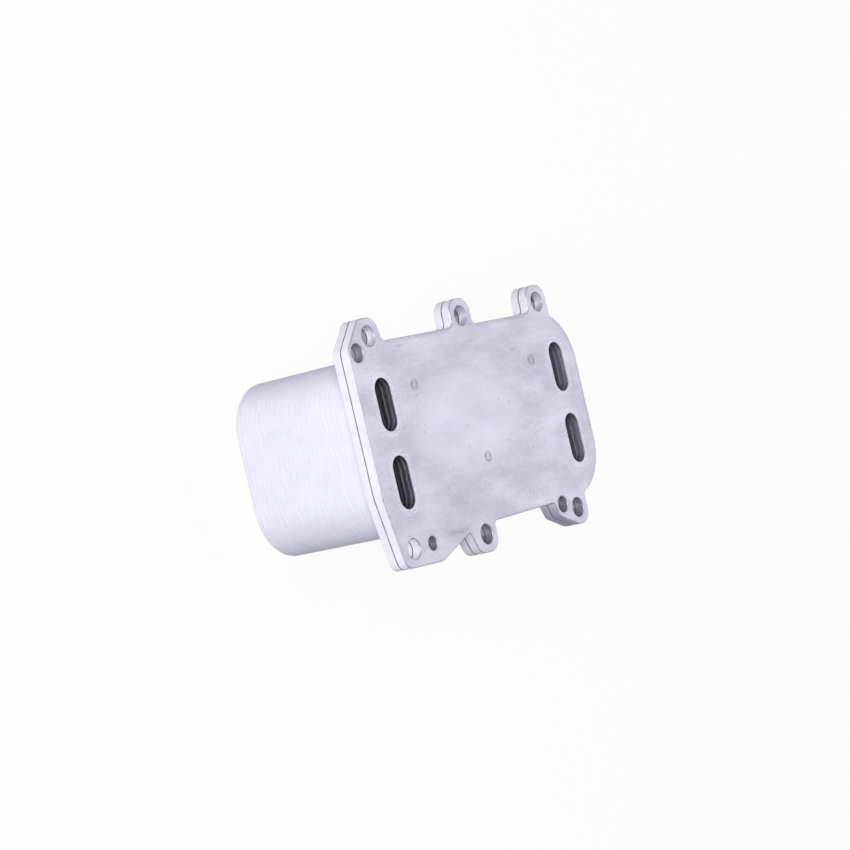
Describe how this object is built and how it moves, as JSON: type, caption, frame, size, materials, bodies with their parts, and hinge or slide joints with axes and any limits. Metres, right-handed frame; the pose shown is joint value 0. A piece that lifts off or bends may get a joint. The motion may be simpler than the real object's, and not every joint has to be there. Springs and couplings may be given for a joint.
{
  "type": "engine oil cooler",
  "caption": "Stacked plate engine oil cooler: brazed core of nested dished plates under a thick flange with slotted ports, lugs and bolt holes.",
  "frame": {"origin": "centre of the four ports, on the flange's mounting face", "axes": "+Z out of the mounting face, towards the engine; +X along the core's length, towards the flange's rounded end; +Y towards the side with three lugs in a line"},
  "size_m": [0.1344, 0.089, 0.0587],
  "materials": {
    "flange_aluminium": "satin",
    "core_aluminium": "satin",
    "oil_fin_aluminium": "satin",
    "coolant_fin_aluminium": "satin"
  },
  "bodies": {
    "root": {"mounting_plate": "flange_aluminium", "backing_plate": "flange_aluminium", "oil_plate_01": "core_aluminium", "coolant_plate_02": "core_aluminium", "oil_plate_03": "core_aluminium", "coolant_plate_04": "core_aluminium", "oil_plate_05": "core_aluminium", "coolant_plate_06": "core_aluminium", "oil_plate_07": "core_aluminium", "coolant_plate_08": "core_aluminium", "oil_plate_09": "core_aluminium", "coolant_plate_10": "core_aluminium", "oil_plate_11": "core_aluminium", "coolant_plate_12": "core_aluminium", "oil_plate_13": "core_aluminium", "coolant_plate_14": "core_aluminium", "oil_plate_15": "core_aluminium", "coolant_plate_16": "core_aluminium", "oil_plate_17": "core_aluminium", "coolant_plate_18": "core_aluminium", "oil_plate_19": "core_aluminium", "coolant_plate_20": "core_aluminium", "oil_plate_21": "core_aluminium", "coolant_plate_22": "core_aluminium", "oil_fin_01": "oil_fin_aluminium", "coolant_fin_02": "coolant_fin_aluminium", "oil_fin_03": "oil_fin_aluminium", "coolant_fin_04": "coolant_fin_aluminium", "oil_fin_05": "oil_fin_aluminium", "coolant_fin_06": "coolant_fin_aluminium", "oil_fin_07": "oil_fin_aluminium", "coolant_fin_08": "coolant_fin_aluminium", "oil_fin_09": "oil_fin_aluminium", "coolant_fin_10": "coolant_fin_aluminium", "oil_fin_11": "oil_fin_aluminium", "coolant_fin_12": "coolant_fin_aluminium", "oil_fin_13": "oil_fin_aluminium", "coolant_fin_14": "coolant_fin_aluminium", "oil_fin_15": "oil_fin_aluminium", "coolant_fin_16": "coolant_fin_aluminium", "oil_fin_17": "oil_fin_aluminium", "coolant_fin_18": "coolant_fin_aluminium", "oil_fin_19": "oil_fin_aluminium", "coolant_fin_20": "coolant_fin_aluminium", "oil_fin_21": "oil_fin_aluminium", "coolant_fin_22": "coolant_fin_aluminium", "end_plate": "core_aluminium"}
  },
  "joints": []
}
